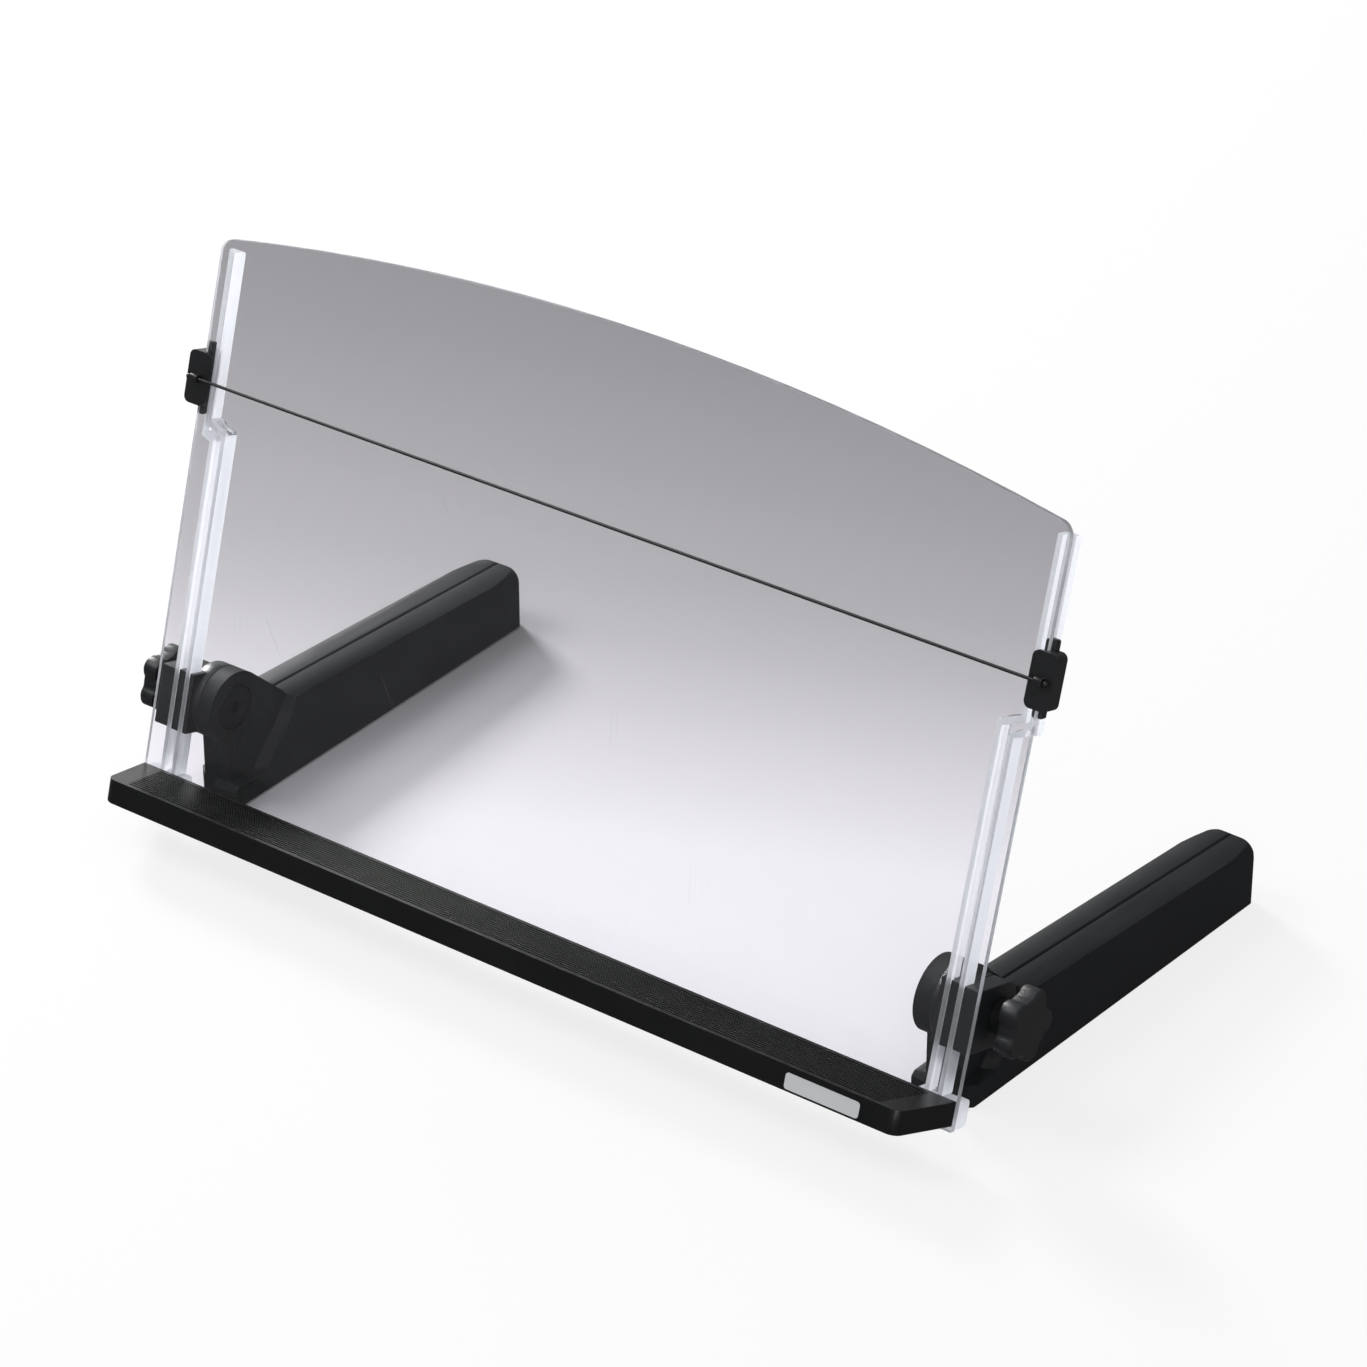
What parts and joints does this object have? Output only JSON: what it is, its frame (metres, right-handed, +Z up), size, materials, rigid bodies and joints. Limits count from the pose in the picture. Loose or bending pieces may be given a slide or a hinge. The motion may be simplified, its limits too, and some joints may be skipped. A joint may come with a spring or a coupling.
{
  "type": "copy holder with line guide",
  "caption": "Desk copy holder: clear arched panel on a ribbed ledge, sliding line guide rod, rear arms on clamped height and tilt joints",
  "frame": {"origin": "centre of the footprint on the desk, under the middle of the part", "axes": "+X along the panel to the reader's right, +Y away from the reader toward the arms' rear ends, +Z up"},
  "size_m": [0.489, 0.279, 0.2825],
  "materials": {
    "clear_sheet": "clear, polished",
    "clear_rail": "clear, polished",
    "ledge_black": "satin",
    "label_pale": "smooth",
    "screw_steel": "zinc plated",
    "clip_black": "satin",
    "rod_black": "satin",
    "joint_black": "satin",
    "stud_black": "black oxide",
    "washer_grey": "smooth",
    "washer_steel": "plain",
    "knob_black": "satin",
    "insert_brass": "turned",
    "arm_black": "fine grain",
    "dowel_steel": "ground",
    "pad_rubber": "matt"
  },
  "bodies": {
    "panel": {"document_panel": "clear_sheet", "ledge": "ledge_black", "ledge_label": "label_pale", "ledge_screws": "screw_steel", "rail_left": "clear_rail", "rail_right": "clear_rail"},
    "line_guide": {"guide_clip_left": "clip_black", "guide_clip_right": "clip_black", "guide_rod": "rod_black"},
    "slider_left": {"slider_body_left": "joint_black", "pivot_stud_left": "stud_black", "friction_washer_left": "washer_grey"},
    "clamp_left": {"clamp_jaw_left": "joint_black", "thrust_washer_left": "washer_steel"},
    "star_knob_left": {"knob_left": "knob_black", "knob_insert_left": "insert_brass"},
    "arm_left": {"arm_inner_left": "arm_black", "arm_outer_left": "arm_black", "arm_dowels_left": "dowel_steel", "pad_front_left": "pad_rubber", "pad_rear_left": "pad_rubber"},
    "slider_right": {"slider_body_right": "joint_black", "pivot_stud_right": "stud_black", "friction_washer_right": "washer_grey"},
    "clamp_right": {"clamp_jaw_right": "joint_black", "thrust_washer_right": "washer_steel"},
    "star_knob_right": {"knob_right": "knob_black", "knob_insert_right": "insert_brass"},
    "arm_right": {"arm_inner_right": "arm_black", "arm_outer_right": "arm_black", "arm_dowels_right": "dowel_steel", "pad_front_right": "pad_rubber", "pad_rear_right": "pad_rubber"}
  },
  "joints": [
    {"name": "line_guide_slide", "type": "slide", "parent": "panel", "child": "line_guide", "axis": [0, 0.279, 0.9603], "range_m": [-0.115, 0.045]},
    {"name": "height_left", "type": "slide", "parent": "panel", "child": "slider_left", "axis": [0, 0.279, 0.9603], "range_m": [-0.0175, 0.1025]},
    {"name": "tilt_left", "type": "hinge", "parent": "slider_left", "child": "arm_left", "pos_m": [-0.2052, -0.07402, 0.05003], "axis": [1, 0, 0], "range_deg": [-16, 70]},
    {"name": "clamp_travel_left", "type": "slide", "parent": "slider_left", "child": "clamp_left", "axis": [-1, 0, 0], "range_m": [0, 0.001]},
    {"name": "knob_turn_left", "type": "hinge", "parent": "clamp_left", "child": "star_knob_left", "pos_m": [-0.24, -0.07402, 0.05003], "axis": [-1, 0, 0], "range_deg": [0, 363]},
    {"name": "height_right", "type": "slide", "parent": "panel", "child": "slider_right", "axis": [0, 0.279, 0.9603], "range_m": [-0.0175, 0.1025]},
    {"name": "tilt_right", "type": "hinge", "parent": "slider_right", "child": "arm_right", "pos_m": [0.2052, -0.07402, 0.05003], "axis": [1, 0, 0], "range_deg": [-16, 70]},
    {"name": "clamp_travel_right", "type": "slide", "parent": "slider_right", "child": "clamp_right", "axis": [1, 0, 0], "range_m": [0, 0.001]},
    {"name": "knob_turn_right", "type": "hinge", "parent": "clamp_right", "child": "star_knob_right", "pos_m": [0.24, -0.07402, 0.05003], "axis": [1, 0, 0], "range_deg": [0, 363]}
  ],
  "couplings": [
    {"joint": "knob_turn_left", "follows": "clamp_travel_left", "rad_per_m": 6283.2},
    {"joint": "knob_turn_right", "follows": "clamp_travel_right", "rad_per_m": 6283.2}
  ]
}
